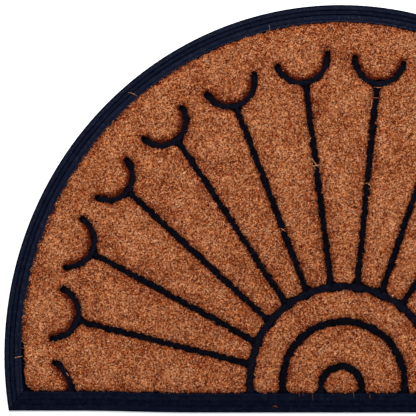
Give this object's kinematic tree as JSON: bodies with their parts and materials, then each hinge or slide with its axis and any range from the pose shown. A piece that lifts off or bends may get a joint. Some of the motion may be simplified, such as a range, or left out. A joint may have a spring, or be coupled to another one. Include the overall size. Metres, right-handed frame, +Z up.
{
  "type": "half round coir doormat",
  "caption": "Half round doormat: coir pile set in a moulded rubber base whose raised lines draw a sunburst, with a ribbed border.",
  "frame": {"origin": "middle of the mat's bounding box, on its flat underside", "axes": "+X along the straight edge, +Y towards the top of the arc, +Z up out of the pile"},
  "size_m": [0.7618, 0.461, 0.012],
  "materials": {
    "rubber": "moulded navy black rubber with a low sheen",
    "coir": "matt coconut fibre pile, orange brown with tan and dark fibres"
  },
  "bodies": {
    "root": {"rubber_base": "rubber", "coir_field": "coir", "coir_outer_arch": "coir", "coir_middle_arch": "coir", "coir_centre": "coir"}
  },
  "joints": []
}
